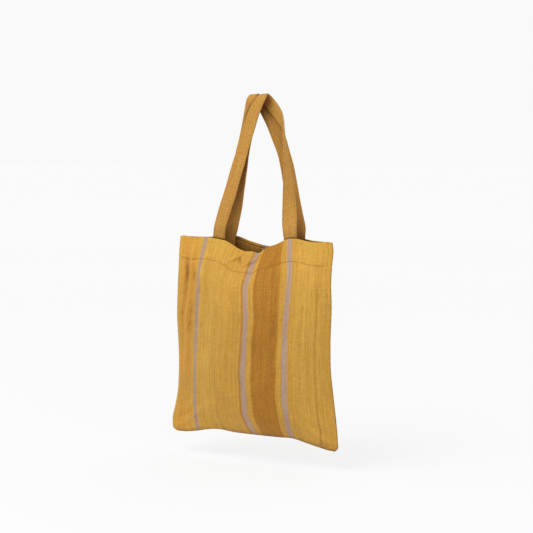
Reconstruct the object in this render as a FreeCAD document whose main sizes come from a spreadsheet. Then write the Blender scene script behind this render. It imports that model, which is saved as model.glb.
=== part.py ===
"""A folding linen tote bag, hung by its two shoulder straps. Sizes are in millimetres.

The origin is the point where the straps rest on the rail that holds the bag up.
X runs across the bag, -Y is its front and +Z is up. The bag folds back once, just below
its middle, and each strap swings about the rim where it is sewn on.
"""

import FreeCAD
import Part
import math
import os

import Sketcher
from FreeCAD import Placement, Rotation, Vector

# alias, value, meaning
DIMENSIONS = (
    ("rim_level", -300.0, "height of the mouth's rim"),
    ("hem_level", -348.0, "height of the hem's stitching"),
    ("chest_level", -430.0, "height of the upper belly section"),
    ("fold_level", -536.0, "height of the fold across the bag"),
    ("lap_level", -610.0, "height of the lower belly section"),
    ("skirt_level", -680.0, "height where the panels close in"),
    ("base_level", -724.0, "height of the bottom seam"),
    ("fold_gap", 0.5, "play between the two halves at the fold"),
    ("rim_half", 184.0, "half the bag's width at the rim"),
    ("hem_half", 185.0, "half the width at the hem"),
    ("chest_half", 188.0, "half the width at the upper belly"),
    ("fold_half", 186.0, "half the width at the fold"),
    ("lap_half", 188.0, "half the width at the lower belly"),
    ("skirt_half", 194.0, "half the width at the skirt"),
    ("base_half", 203.0, "half the width at the bottom seam"),
    ("front_rim_belly", 18.5, "how far the front panel stands out at the rim"),
    ("front_hem_belly", 28.0, "front panel at the hem"),
    ("front_chest_belly", 44.0, "front panel at the upper belly"),
    ("front_fold_belly", 52.0, "front panel at the fold"),
    ("front_lap_belly", 46.0, "front panel at the lower belly"),
    ("front_skirt_belly", 27.0, "front panel at the skirt"),
    ("front_base_belly", 1.0, "front panel at the bottom seam"),
    ("back_rim_belly", 28.7, "how far the back panel stands out at the rim"),
    ("back_hem_belly", 27.0, "back panel at the hem"),
    ("back_chest_belly", 21.0, "back panel at the upper belly"),
    ("back_fold_belly", 16.0, "back panel at the fold"),
    ("back_lap_belly", 14.0, "back panel at the lower belly"),
    ("back_skirt_belly", 9.0, "back panel at the skirt"),
    ("back_base_belly", 1.0, "back panel at the bottom seam"),
    ("cloth", 1.2, "thickness of the linen"),
    ("seam_thick", 2.0, "thickness of a seam's two turned edges"),
    ("seam_wide", 11.0, "width of a seam's turned edges"),
    ("seam_play", 0.1, "play between a seam's turned edges and the panels"),
    ("seam_rake", 3.5, "how far the bottom seam stops short of the side seams"),
    ("layer_gap", 0.3, "play between two layers of cloth"),
    ("hem_drop", 2.3, "how much less a hem stands out than its panel"),
    ("hem_inset", 13.0, "how far a hem stops short of the bag's sides"),
    ("front_dip", 24.0, "how far the front rim sags between the straps"),
    ("back_dip", 8.0, "how far the back rim sags between the straps"),
    ("dip_half", 58.0, "half the width of the sag in the rim"),
    ("strap_thick", 2.6, "thickness of a strap, folded and sewn"),
    ("strap_wide", 32.0, "full width of a strap"),
    ("tail_wide", 30.0, "width of a strap's sewn end"),
    ("tail_rise", 8.0, "how far a sewn strap end stands above the rim"),
    ("tail_foot", 4.0, "height of a sewn strap end's foot above the hem's stitching"),
    ("tail_gap", 1.1, "play between a sewn strap end and the hem it curves with"),
    ("front_bend", 12.2, "distance from the middle plane where the front strap bends over"),
    ("back_bend", 20.0, "distance from the middle plane where the back strap bends over"),
    ("thread", 0.5, "how far a row of stitches stands out"),
    ("thread_gap", 0.2, "play between a row of stitches and the cloth"),
    ("stitch_tall", 1.2, "height of a row of stitches"),
    ("box_wide", 24.0, "width of the stitched box on a strap end"),
    ("box_tall", 36.0, "height of the stitched box on a strap end"),
    ("box_level", -326.0, "height of the middle of a stitched box"),
    ("box_gap", 0.6, "play between a flat stitched box and the curved cloth"),
)
SIZE = {alias: value for alias, value, meaning in DIMENSIONS}

UPPER_STATIONS = ("rim", "hem", "chest", "fold")
LOWER_STATIONS = ("fold", "lap", "skirt", "base")
PANEL_ROOT = "Dimensions.seam_thick / 2"
TURNS = {"front": 180.0, "back": 0.0}

# A strap's run: centre of the strap, its width there, and the direction across it.
FRONT_STRAP = (
    ((-78, -12.2, -280), 30, (1, 0, 0)),
    ((-67, -12.4, -252), 30, (0.95, 0, -0.3)),
    ((-52, -12.5, -210), 30, (0.94, 0, -0.33)),
    ((-27, -12.5, -137), 30, (0.94, 0, -0.33)),
    ((-1, -12.2, -62), 28, (0.94, 0, -0.33)),
    ((16.5, -12.4, -26), 24, (0.94, 0, -0.33)),
    ((25, -8.8, -8), 22, (0.97, 0, -0.2)),
    ((25.8, -5, -0.8), 22, (1, 0, 0)),
    ((26, 0, 1.6), 22, (1, 0, 0)),
    ((26.5, 5, -0.8), 22, (1, 0, 0.1)),
    ((30, 8.4, -9), 23, (0.8, 0, 0.6)),
    ((46, 9, -26), 25, (0.7, 0, 0.7)),
    ((61, 7.5, -41), 26, (0.7, -0.2, 0.65)),
    ((71, 2, -58), 27, (0.55, -0.68, 0.4)),
    ((75, -2.5, -82), 27, (0.38, -0.9, 0.1)),
    ((77.6, -3.2, -112), 27, (0.14, -0.99, 0)),
    ((81.3, -3.4, -157), 28, (-0.16, -0.98, 0)),
    ((84.8, -4.8, -200), 30, (-0.4, -0.91, 0)),
    ((90, -9, -245), 31, (-0.8, -0.55, 0)),
    ((95, -12.2, -280), 32, (-1, 0, 0)),
)
BACK_STRAP = (
    ((-70, 20, -280), 32, (1, 0, 0)),
    ((-56, 15.5, -246), 32, (0.96, 0, -0.26)),
    ((-36, 8, -164), 31, (0.97, 0, -0.22)),
    ((-24, 3, -112), 30, (0.96, 0, -0.25)),
    ((-7, -5, -58), 27, (0.94, 0, -0.3)),
    ((-4.2, -7.8, -28), 23, (0.97, 0, -0.2)),
    ((0, -7.9, -8), 21, (1, 0, -0.1)),
    ((1.5, -5, -0.8), 21, (1, 0, 0)),
    ((2, 0, 1.6), 21, (1, 0, 0)),
    ((3, 5.2, -0.8), 21, (1, 0, 0.1)),
    ((6, 10, -9), 22, (0.85, 0, 0.53)),
    ((22, 15, -30), 25, (0.82, 0, 0.57)),
    ((40, 17, -64), 27, (0.82, 0.05, 0.56)),
    ((54, 18.5, -92), 28, (0.85, 0.05, 0.52)),
    ((66, 21, -118), 28, (0.88, 0.15, 0.42)),
    ((74, 23, -145), 29, (0.93, 0.28, 0.2)),
    ((79, 24, -175), 30, (0.92, 0.38, 0.05)),
    ((85, 24, -208), 31, (0.95, 0.3, 0)),
    ((94, 22, -248), 32, (0.99, 0.15, 0)),
    ((100, 20, -280), 32, (1, 0, 0)),
)
# Where the four strap ends are sewn in: across the bag at the rim, and at the hem.
STRAP_ENDS = {
    "front_left": ("front", -78.0, -90.0),
    "front_right": ("front", 95.0, 96.0),
    "back_left": ("back", -70.0, -80.0),
    "back_right": ("back", 100.0, 101.0),
}
# The rows of stitches along a strap's edges.
EDGE_INSET = 3.0
EDGE_ROW_WIDE = 1.0
EDGE_ROW_THICK = 0.5
EDGE_ROW_GAP = 0.05


def fill_sheet(doc):
    sheet = doc.addObject("Spreadsheet::Sheet", "Dimensions")
    for row, (alias, value, meaning) in enumerate(DIMENSIONS, start=1):
        sheet.set(f"A{row}", meaning)
        sheet.set(f"B{row}", str(value))
        sheet.setAlias(f"B{row}", alias)
    doc.recompute()


def new_body(doc, label):
    body = doc.addObject("PartDesign::Body", label)
    body.Label = label
    return body


def origin_plane(body, role):
    for feature in body.Origin.OriginFeatures:
        if feature.Role == role:
            return feature
    raise ValueError(role)


def new_sketch(body, name, offset, role="XY_Plane"):
    """A sketch on one of the body's own origin planes, moved and turned by offset."""
    sketch = body.newObject("Sketcher::SketchObject", name)
    sketch.AttachmentSupport = [(origin_plane(body, role), "")]
    sketch.MapMode = "FlatFace"
    sketch.AttachmentOffset = offset
    return sketch


def bind(sketch, kind, arguments, value, expression):
    """Adds one dimension to a sketch and ties it to the sheet."""
    index = sketch.addConstraint(Sketcher.Constraint(kind, *arguments, value))
    sketch.setExpression(f"Constraints[{index}]", expression)


def join_ends(sketch, pairs):
    for first, second in pairs:
        sketch.addConstraint(Sketcher.Constraint("Coincident", *first, *second))


def level_offset(level, turn):
    return Placement(Vector(0, 0, level), Rotation(Vector(0, 0, 1), turn))


def arc_over(half, root, belly):
    """The arc from (half, root) over (0, root + belly) to (-half, root)."""
    radius = (half * half + belly * belly) / (2 * belly)
    start = math.atan2(radius - belly, half)
    circle = Part.Circle(Vector(0, root + belly - radius, 0), Vector(0, 0, 1), radius)
    return Part.ArcOfCircle(circle, start, math.pi - start)


def crescent(body, name, level, turn, sizes):
    """A curved layer's section. sizes holds expressions for half, root, belly, thick and level."""
    values = {key: evaluate(text) for key, text in sizes.items()}
    half, root, belly, thick = (values[key] for key in ("half", "root", "belly", "thick"))
    sketch = new_sketch(body, name, level_offset(level, turn))
    sketch.setExpression("AttachmentOffset.Base.z", sizes["level"])
    sketch.addGeometry(arc_over(half, root + thick, belly))
    left_foot = Vector(-half, root, 0)
    right_foot = Vector(half, root, 0)
    lift = Vector(0, thick, 0)
    sketch.addGeometry(Part.LineSegment(left_foot + lift, left_foot))
    sketch.addGeometry(arc_over(half, root, belly))
    sketch.addGeometry(Part.LineSegment(right_foot, right_foot + lift))
    sketch.addGeometry(Part.Point(Vector(0, root + belly, 0)), True)
    join_ends(sketch, (((0, 2), (1, 1)), ((1, 2), (2, 2)), ((2, 1), (3, 1)), ((3, 2), (0, 1))))
    sketch.addConstraint(Sketcher.Constraint("Vertical", 1))
    sketch.addConstraint(Sketcher.Constraint("Vertical", 3))
    sketch.addConstraint(Sketcher.Constraint("Symmetric", 2, 1, 2, 2, -2))
    sketch.addConstraint(Sketcher.Constraint("Equal", 0, 2))
    sketch.addConstraint(Sketcher.Constraint("PointOnObject", 4, 1, 2))
    sketch.addConstraint(Sketcher.Constraint("PointOnObject", 4, 1, -2))
    bind(sketch, "DistanceX", (-1, 1, 2, 1), half, sizes["half"])
    bind(sketch, "DistanceY", (-1, 1, 2, 1), root, sizes["root"])
    bind(sketch, "DistanceY", (2, 1, 4, 1), belly, sizes["belly"])
    bind(sketch, "DistanceY", (3, 1, 3, 2), thick, sizes["thick"])
    return sketch


def evaluate(text):
    """The number an expression over the sheet gives, worked out from the same values."""
    total = text
    for alias in sorted(SIZE, key=len, reverse=True):
        total = total.replace(f"Dimensions.{alias}", f"({SIZE[alias]})")
    return float(FreeCAD.Units.parseQuantity(total).Value)


def rectangle(body, name, offset, wide, thick):
    """A centred rectangle; wide and thick are expressions."""
    across, through = evaluate(wide) / 2, evaluate(thick) / 2
    corners = [
        Vector(-across, -through, 0),
        Vector(across, -through, 0),
        Vector(across, through, 0),
        Vector(-across, through, 0),
    ]
    sketch = new_sketch(body, name, offset)
    for index in range(4):
        sketch.addGeometry(Part.LineSegment(corners[index], corners[(index + 1) % 4]))
    join_ends(sketch, [((index, 2), ((index + 1) % 4, 1)) for index in range(4)])
    for index, kind in enumerate(("Horizontal", "Vertical", "Horizontal", "Vertical")):
        sketch.addConstraint(Sketcher.Constraint(kind, index))
    sketch.addConstraint(Sketcher.Constraint("Symmetric", 0, 1, 1, 2, -1, 1))
    bind(sketch, "DistanceX", (0, 1, 0, 2), 2 * across, wide)
    bind(sketch, "DistanceY", (1, 1, 1, 2), 2 * through, thick)
    return sketch


def loft(body, sections):
    feature = body.newObject("PartDesign::AdditiveLoft", "Loft")
    feature.Profile = sections[0]
    feature.Sections = sections[1:]
    feature.Ruled = True
    body.Tip = feature
    return feature


def station_level(station, half_name):
    """The height of a station. The fold's gap is shared between the two halves."""
    sign = {"upper": "+", "lower": "-"}[half_name]
    if station == "fold":
        return f"Dimensions.fold_level {sign} Dimensions.fold_gap / 2"
    return f"Dimensions.{station}_level"


def panel_sizes(side, station, half_name):
    return {
        "half": f"Dimensions.{station}_half",
        "root": PANEL_ROOT,
        "belly": f"Dimensions.{side}_{station}_belly",
        "thick": "Dimensions.cloth",
        "level": station_level(station, half_name),
    }


def make_panel(doc, side, half_name, stations):
    """One half of the front or back of the bag, a curved sheet of linen."""
    body = new_body(doc, f"{side}_panel_{half_name}")
    turn = TURNS[side]
    sections = []
    for station in stations:
        sizes = panel_sizes(side, station, half_name)
        level = evaluate(sizes["level"])
        sections.append(crescent(body, f"Section_{station}", level, turn, sizes))
    loft(body, sections)
    return body


def hem_sizes(side, station):
    sizes = panel_sizes(side, station, "upper")
    sizes["belly"] += " - Dimensions.hem_drop"
    sizes["root"] += " + Dimensions.layer_gap"
    sizes["half"] += " - Dimensions.hem_inset"
    return sizes


def make_hem(doc, side):
    """The turned-in edge of a panel, a second layer inside the rim."""
    body = new_body(doc, f"{side}_hem")
    turn = TURNS[side]
    sections = []
    for station in ("rim", "hem"):
        sizes = hem_sizes(side, station)
        level = evaluate(sizes["level"])
        sections.append(crescent(body, f"Section_{station}", level, turn, sizes))
    loft(body, sections)
    return body


def cut_dip(body, side):
    """The sag of the rim between the two strap ends, an arc cut from the top edge."""
    half, dip, rim = SIZE["dip_half"], SIZE[f"{side}_dip"], SIZE["rim_level"]
    offset = Placement(Vector(0, rim, 0), Rotation())
    sketch = new_sketch(body, "Dip", offset, "XZ_Plane")
    sketch.setExpression("AttachmentOffset.Base.y", "Dimensions.rim_level")
    radius = (half * half + dip * dip) / (2 * dip)
    start = math.atan2(dip - radius, half)
    circle = Part.Circle(Vector(0, radius - dip, 0), Vector(0, 0, 1), radius)
    sketch.addGeometry(Part.ArcOfCircle(circle, math.pi - start, 2 * math.pi + start))
    sketch.addGeometry(Part.LineSegment(Vector(half, 0, 0), Vector(-half, 0, 0)))
    sketch.addGeometry(Part.Point(Vector(0, -dip, 0)), True)
    join_ends(sketch, (((0, 2), (1, 1)), ((1, 2), (0, 1))))
    sketch.addConstraint(Sketcher.Constraint("Symmetric", 1, 1, 1, 2, -1, 1))
    sketch.addConstraint(Sketcher.Constraint("Horizontal", 1))
    sketch.addConstraint(Sketcher.Constraint("PointOnObject", 2, 1, 0))
    sketch.addConstraint(Sketcher.Constraint("PointOnObject", 2, 1, -2))
    bind(sketch, "DistanceX", (-1, 1, 1, 1), half, "Dimensions.dip_half")
    bind(sketch, "DistanceY", (2, 1, -1, 1), dip, f"Dimensions.{side}_dip")
    pocket = body.newObject("PartDesign::Pocket", "RimDip")
    pocket.Profile = sketch
    pocket.Type = "ThroughAll"
    pocket.Midplane = True
    body.Tip = pocket


def make_side_seam(doc, side, half_name, stations):
    """The turned edges of both panels, sewn together inside the bag's side."""
    body = new_body(doc, f"{side}_seam_{half_name}")
    turn = 180.0 if side == "left" else 0.0
    sections = []
    for station in stations:
        level = evaluate(station_level(station, half_name))
        outer = SIZE[f"{station}_half"]
        reach = outer - SIZE["seam_wide"] / 2
        spin = Rotation(Vector(0, 0, 1), turn)
        place = Placement(spin.multVec(Vector(reach, 0, 0)) + Vector(0, 0, level), spin)
        sections.append(
            rectangle(
                body,
                f"Section_{station}",
                place,
                "Dimensions.seam_wide",
                "Dimensions.seam_thick - Dimensions.seam_play",
            )
        )
    loft(body, sections)
    return body


def make_bottom_seam(doc):
    body = new_body(doc, "bottom_seam")
    offset = Placement(Vector(0, 0, SIZE["base_level"]), Rotation())
    width = "2 * (Dimensions.base_half - Dimensions.seam_wide - Dimensions.seam_rake)"
    thick = "Dimensions.seam_thick - Dimensions.seam_play"
    sketch = rectangle(body, "Section", offset, width, thick)
    sketch.setExpression("AttachmentOffset.Base.z", "Dimensions.base_level")
    pad = body.newObject("PartDesign::Pad", "Seam")
    pad.Profile = sketch
    pad.setExpression("Length", "Dimensions.seam_wide")
    body.Tip = pad
    return body


def make_hem_stitching(doc, side):
    """One row of stitches round a panel, just proud of the cloth."""
    body = new_body(doc, f"{side}_hem_stitching")
    turn = TURNS[side]
    sizes = panel_sizes(side, "hem", "upper")
    sizes["root"] += " + Dimensions.cloth + Dimensions.thread_gap"
    sizes["thick"] = "Dimensions.thread"
    sketch = crescent(body, "Row", evaluate(sizes["level"]), turn, sizes)
    pad = body.newObject("PartDesign::Pad", "Stitches")
    pad.Profile = sketch
    pad.setExpression("Length", "Dimensions.stitch_tall")
    body.Tip = pad
    return body


def arc_at(sizes, across):
    """The depth and the slope of a section's inner face at one place across the bag."""
    half, root, belly = (evaluate(sizes[key]) for key in ("half", "root", "belly"))
    radius = (half * half + belly * belly) / (2 * belly)
    drop = math.sqrt(radius * radius - across * across)
    return root + belly - radius + drop, -across / drop


def outward(side):
    return -1.0 if side == "front" else 1.0


def make_strap_tail(doc, name):
    """The end of a strap, sewn flat inside the hem and standing a little above the rim."""
    side, top_x, foot_x = STRAP_ENDS[name]
    body = new_body(doc, f"{name}_strap_end")
    rim, hem = SIZE["rim_level"], SIZE["hem_level"]
    inset = SIZE["tail_gap"] + SIZE["strap_thick"] / 2
    places = []
    for station, across, level in (("hem", foot_x, hem + SIZE["tail_foot"]), ("rim", top_x, rim)):
        depth, slope = arc_at(hem_sizes(side, station), across)
        centre = Vector(across, outward(side) * (depth - inset), level)
        turn = math.degrees(math.atan(outward(side) * slope))
        places.append(Placement(centre, Rotation(Vector(0, 0, 1), turn)))
    bend = outward(side) * SIZE[f"{side}_bend"]
    places.append(Placement(Vector(top_x, bend, rim + SIZE["tail_rise"]), Rotation()))
    sections = []
    for index, place in enumerate(places):
        label = f"Section_{index}"
        wide, thick = "Dimensions.tail_wide", "Dimensions.strap_thick"
        sections.append(rectangle(body, label, place, wide, thick))
    loft(body, sections)
    return body


def box_place(side, top_x, foot_x):
    """Where a stitched box lies on a panel's face, turned to lean and curve with it."""
    rim, hem = SIZE["rim_level"], SIZE["hem_level"]
    lift = SIZE["cloth"] + SIZE["box_gap"]
    low_depth, low_slope = arc_at(panel_sizes(side, "hem", "upper"), foot_x)
    high_depth, high_slope = arc_at(panel_sizes(side, "rim", "upper"), top_x)
    low = Vector(foot_x, outward(side) * (low_depth + lift), hem)
    high = Vector(top_x, outward(side) * (high_depth + lift), rim)
    share = (SIZE["box_level"] - hem) / (rim - hem)
    across = Vector(1, outward(side) * (low_slope + high_slope) / 2, 0)
    up = high - low
    return Placement(low + up * share, Rotation(across, up, across.cross(up), "ZXY"))


def make_box_stitching(doc, name):
    """The stitched rectangle that holds a strap end, seen on the bag's face."""
    side, top_x, foot_x = STRAP_ENDS[name]
    body = new_body(doc, f"{name}_box_stitching")
    place = box_place(side, top_x, foot_x)
    outline = rectangle(body, "Outline", place, "Dimensions.box_wide", "Dimensions.box_tall")
    pad = body.newObject("PartDesign::Pad", "Stitches")
    pad.Profile = outline
    pad.setExpression("Length", "Dimensions.thread")
    pad.Reversed = side == "back"
    body.Tip = pad
    doc.recompute()
    inner_wide = "Dimensions.box_wide - 2 * Dimensions.stitch_tall"
    inner_tall = "Dimensions.box_tall - 2 * Dimensions.stitch_tall"
    pocket = body.newObject("PartDesign::Pocket", "Frame")
    pocket.Profile = rectangle(body, "Inside", place, inner_wide, inner_tall)
    pocket.Type = "ThroughAll"
    pocket.Midplane = True
    body.Tip = pocket
    return body


def strap_frames(run):
    """Centre, width and the two directions across and out of a strap, at each station."""
    points = [Vector(*centre) for centre, wide, across in run]
    frames = []
    for index, (centre, wide, across) in enumerate(run):
        before = points[max(index - 1, 0)]
        after = points[min(index + 1, len(run) - 1)]
        along = (after - before).normalize()
        if index in (0, len(run) - 1):
            along = Vector(0, 0, 1 if index == 0 else -1)
        out = along.cross(Vector(*across)).normalize()
        side = out.cross(along).normalize()
        frames.append((points[index], wide, side, out, along))
    return frames


def make_strap(doc, label, run):
    """A shoulder strap over the rail and round the post: a flat band that twists."""
    body = new_body(doc, label)
    sections = []
    for index, (centre, wide, side, out, along) in enumerate(strap_frames(run)):
        place = Placement(centre, Rotation(side, out, along, "ZXY"))
        width = f"Dimensions.strap_wide * {wide / SIZE['strap_wide']:.4f}"
        label = f"Section_{index}"
        sections.append(rectangle(body, label, place, width, "Dimensions.strap_thick"))
    loft(body, sections)
    return body


def make_edge_row(doc, label, run, edge, face):
    """One row of stitches along one edge of a strap, on one of its faces."""
    body = new_body(doc, label)
    sections = []
    lift = face * ((SIZE["strap_thick"] + EDGE_ROW_THICK) / 2 + EDGE_ROW_GAP)
    for index, (centre, wide, side, out, along) in enumerate(strap_frames(run)):
        middle = centre + side * (edge * (wide / 2 - EDGE_INSET)) + out * lift
        place = Placement(middle, Rotation(side, out, along, "ZXY"))
        row = rectangle(body, f"Section_{index}", place, str(EDGE_ROW_WIDE), str(EDGE_ROW_THICK))
        sections.append(row)
    loft(body, sections)
    return body


def make_edge_stitching(doc, label, run, face):
    rows = [
        make_edge_row(doc, f"{label}_row_left", run, -1, face),
        make_edge_row(doc, f"{label}_row_right", run, 1, face),
    ]
    group = doc.addObject("Part::Compound", label)
    group.Label = label
    group.Links = rows
    return group


def check(doc, pieces):
    """Stops on any feature that failed, and on any piece that isn't a whole, valid shape."""
    for item in doc.Objects:
        if "Invalid" in item.State or "Error" in item.State:
            raise RuntimeError(f"{item.Label} failed: {item.State}")
    for piece in pieces:
        shape = piece.Shape
        if shape.isNull() or not shape.isValid() or shape.Volume <= 0:
            raise RuntimeError(f"{piece.Label} has no valid shape")


def main():
    doc = FreeCAD.newDocument("FoldingTote")
    fill_sheet(doc)
    pieces = []
    for side in ("front", "back"):
        upper = make_panel(doc, side, "upper", UPPER_STATIONS)
        hem = make_hem(doc, side)
        doc.recompute()
        cut_dip(upper, side)
        cut_dip(hem, side)
        pieces += [upper, hem, make_panel(doc, side, "lower", LOWER_STATIONS)]
        pieces.append(make_hem_stitching(doc, side))
    for side in ("left", "right"):
        pieces.append(make_side_seam(doc, side, "upper", UPPER_STATIONS))
        pieces.append(make_side_seam(doc, side, "lower", LOWER_STATIONS))
    pieces.append(make_bottom_seam(doc))
    for name in STRAP_ENDS:
        pieces.append(make_strap_tail(doc, name))
        pieces.append(make_box_stitching(doc, name))
    for side, run in (("front", FRONT_STRAP), ("back", BACK_STRAP)):
        pieces.append(make_strap(doc, f"{side}_strap", run))
        label = f"{side}_strap_edge_stitching"
        pieces.append(make_edge_stitching(doc, label, run, outward(side)))
    doc.recompute()
    check(doc, pieces)
    os.makedirs("parts", exist_ok=True)
    for piece in pieces:
        piece.Shape.exportStep(f"parts/{piece.Label}.step")
        print(f"{piece.Label}: {piece.Shape.Volume:.0f} mm3, {len(piece.Shape.Solids)} solid(s)")


main()
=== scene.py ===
"""The looks of the folding linen tote: woven stripes, sewn hems and seams, and two soft straps.

Everything is in metres in the row's frame: the origin is where the straps rest on the rail,
X runs across the bag, -Y is its front and +Z is up. Cloth is laid out in its flat cut, u
across from the left seam and down from the rim, and then hung in the shape of the bag. Here
s and v are the same two as shares of the cut, from 0 to 1.
"""

import math

import bpy
import numpy as np
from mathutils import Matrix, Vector


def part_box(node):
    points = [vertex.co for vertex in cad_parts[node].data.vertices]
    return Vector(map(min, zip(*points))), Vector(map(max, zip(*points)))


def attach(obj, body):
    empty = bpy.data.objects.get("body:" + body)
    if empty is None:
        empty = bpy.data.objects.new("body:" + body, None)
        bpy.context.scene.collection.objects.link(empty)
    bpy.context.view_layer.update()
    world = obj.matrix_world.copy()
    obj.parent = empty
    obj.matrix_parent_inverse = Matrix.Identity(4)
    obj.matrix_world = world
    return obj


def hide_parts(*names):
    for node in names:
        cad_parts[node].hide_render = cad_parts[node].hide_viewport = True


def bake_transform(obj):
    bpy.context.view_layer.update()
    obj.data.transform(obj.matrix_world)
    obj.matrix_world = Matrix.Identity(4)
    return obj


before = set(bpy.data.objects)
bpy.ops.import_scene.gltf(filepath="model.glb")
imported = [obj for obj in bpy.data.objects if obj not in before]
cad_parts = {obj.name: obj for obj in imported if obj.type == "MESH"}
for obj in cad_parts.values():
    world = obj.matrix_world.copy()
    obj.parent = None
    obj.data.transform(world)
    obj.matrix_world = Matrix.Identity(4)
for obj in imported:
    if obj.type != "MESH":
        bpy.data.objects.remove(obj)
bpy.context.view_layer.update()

MM = 0.001

# The flat cut of each panel, and the cloth.
FLAT_WIDE = 390 * MM
FLAT_TALL = 428 * MM
CLOTH = 1.2 * MM
HEM_TALL = 48 * MM
GRID_STEP = 2 * MM

# Heights taken from the frame.
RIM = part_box("left_seam_upper")[1].z
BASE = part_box("left_seam_lower")[0].z

OUTWARD = {"front": -1.0, "back": 1.0}

# Where the straps are sewn on, across the flat cut.
STRAP_AT = {
    ("front", "left"): 93 * MM,
    ("front", "right"): 294 * MM,
    ("back", "left"): 112 * MM,
    ("back", "right"): 305 * MM,
}


# ---------------------------------------------------------------- curves

def smooth_through(knots, values, at):
    """A smooth curve through the knots: cubic pieces with averaged slopes."""
    knots = np.asarray(knots, float)
    values = np.asarray(values, float)
    at = np.clip(at, knots[0], knots[-1])
    steps = np.diff(knots)
    chords = (np.diff(values, axis=0).T / steps).T
    slopes = np.empty_like(values)
    slopes[0], slopes[-1] = chords[0], chords[-1]
    before, after = steps[:-1], steps[1:]
    inner = (chords[:-1].T * after + chords[1:].T * before) / (before + after)
    slopes[1:-1] = inner.T
    index = np.clip(np.searchsorted(knots, at, side="right") - 1, 0, len(steps) - 1)
    span = steps[index]
    share = (at - knots[index]) / span
    if values.ndim > 1:
        share, span = share[..., None], span[..., None]
    start, end = values[index], values[index + 1]
    near, far = slopes[index] * span, slopes[index + 1] * span
    square, cube = share ** 2, share ** 3
    return (
        start * (2 * cube - 3 * square + 1)
        + near * (cube - 2 * square + share)
        + end * (3 * square - 2 * cube)
        + far * (cube - square)
    )


def bump(distance, reach):
    """A soft hill, 1 at no distance and nearly 0 past reach."""
    return np.exp(-(distance / reach) ** 2 * 2)


def ease(low, high, value):
    """A soft step, 0 up to low and 1 from high."""
    share = np.clip((value - low) / (high - low), 0, 1)
    return share * share * (3 - 2 * share)


# ---------------------------------------------------------------- the hung bag

def side_line(side, v):
    """The side seam's line as it hangs, at share v of the way down."""
    if side == "left":
        x = smooth_through([0, 0.06, 0.15, 0.3, 0.42, 0.5, 0.62, 0.73, 0.8, 0.88, 0.95, 1],
                           [-181, -184, -186.5, -190, -191, -189, -186, -186, -187.5, -193, -199, -197], v)
        y = smooth_through([0, 0.35, 0.65, 0.9, 1], [0, -1, -3, -8, -12], v)
    else:
        x = smooth_through([0, 0.03, 0.1, 0.2, 0.3, 0.5, 0.62, 0.73, 0.82, 0.9, 1],
                           [185, 187, 184.5, 182, 183, 180, 181, 186, 190, 193, 194.5], v)
        y = smooth_through([0, 0.3, 0.5, 0.75, 0.9, 1], [0, 2, 4, 6, 10, 14], v)
    return x * MM, y * MM


def rim_height(side, u):
    """How far the rim stands above or below its usual level, across the cut."""
    if side == "front":
        knots = [0, 8, 29, 73, 90, 115, 128, 144, 163, 190, 208,
                 222, 241, 257, 273, 284, 297, 316, 331, 345, 366, 382, 390]
        drops = [1, 2.5, -0.5, 1, -1, -5, -10, -18, -24, -24.5, -26.5,
                 -18, -11, -7, -1, 3.5, 6, 5.5, 2.5, 0.5, 0, 2, 0.5]
    else:
        knots = [0, 40, 97, 125, 165, 205, 245, 275, 293, 340, 390]
        drops = [1, 0, 2, 4, -6, -14, -14, -4, 3, 1, 0.5]
    return smooth_through(np.array(knots) * MM, np.array(drops) * MM, u)


def base_height(u):
    """How far the bottom edge hangs below or above its usual level."""
    knots = [0, 8, 25, 55, 82, 115, 150, 200, 260, 302, 322, 352, 376, 385, 390]
    drops = [3, -2, -3, 2, 8, 11, 8, 7.5, 8, 8, 3, -4, -8, -7.5, -1]
    return smooth_through(np.array(knots) * MM, np.array(drops) * MM, u)


def belly(side, v):
    """How far the middle of a panel stands out, at share v of the way down."""
    if side == "front":
        return smooth_through([0, 0.06, 0.12, 0.2, 0.3, 0.45, 0.65, 0.8, 0.9, 0.96, 1],
                              [12, 14, 19, 31, 45, 52, 54, 49, 35, 15, 0.3], v) * MM
    return smooth_through([0, 0.12, 0.3, 0.55, 0.8, 0.93, 1],
                          [30, 28, 23, 16, 12, 6, 0.3], v) * MM


def arch(side, s, v):
    """The belly's shape from seam to seam; the front leans to one side and is fuller low down."""
    if side == "front":
        skew = smooth_through([0, 0.14, 0.3, 0.5, 0.7, 0.85, 1], [1.3, 1.2, 1.25, 1.22, 1.08, 1.1, 1.2], v)
        power = smooth_through([0, 0.25, 0.35, 0.6, 0.8, 1], [1.0, 1.05, 0.85, 0.75, 0.92, 1.0], v)
        return np.sin(math.pi * np.clip(s, 0, 1) ** skew).clip(0, 1) ** power
    return np.sin(math.pi * s).clip(0, 1) ** 0.8 * np.ones_like(v)


def crumple(side, u, down):
    """Slight unevenness all over, from waves of many lengths and directions."""
    draw = np.random.default_rng({"front": 11, "back": 29}[side])
    total = np.zeros(np.broadcast(u, down).shape)
    for longest, shortest, count, tall in ((95, 45, 9, 0.42), (40, 18, 12, 0.19), (15, 8, 12, 0.07)):
        lengths = draw.uniform(shortest, longest, count) * MM
        turns = draw.uniform(0, math.pi, count)
        phases = draw.uniform(0, 2 * math.pi, count)
        for length, turn, phase in zip(lengths, turns, phases):
            across, along = math.cos(turn) / length, 0.6 * math.sin(turn) / length
            total += tall * MM * np.sin(2 * math.pi * (u * across + down * along) + phase)
    return total


def strap_pull(side, name, u, down):
    """Small pleats that fan out from under a strap's sewn end."""
    line = STRAP_AT[side, name]
    spread = 17 * MM + 0.09 * down
    pull = ease(10 * MM, 45 * MM, down) * (1 - ease(70 * MM, 190 * MM, down))
    hill = bump(u - line - spread, 8 * MM) + bump(u - line + spread, 8 * MM)
    return 1.7 * MM * (hill - 0.8 * bump(u - line, 11 * MM)) * pull


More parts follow.
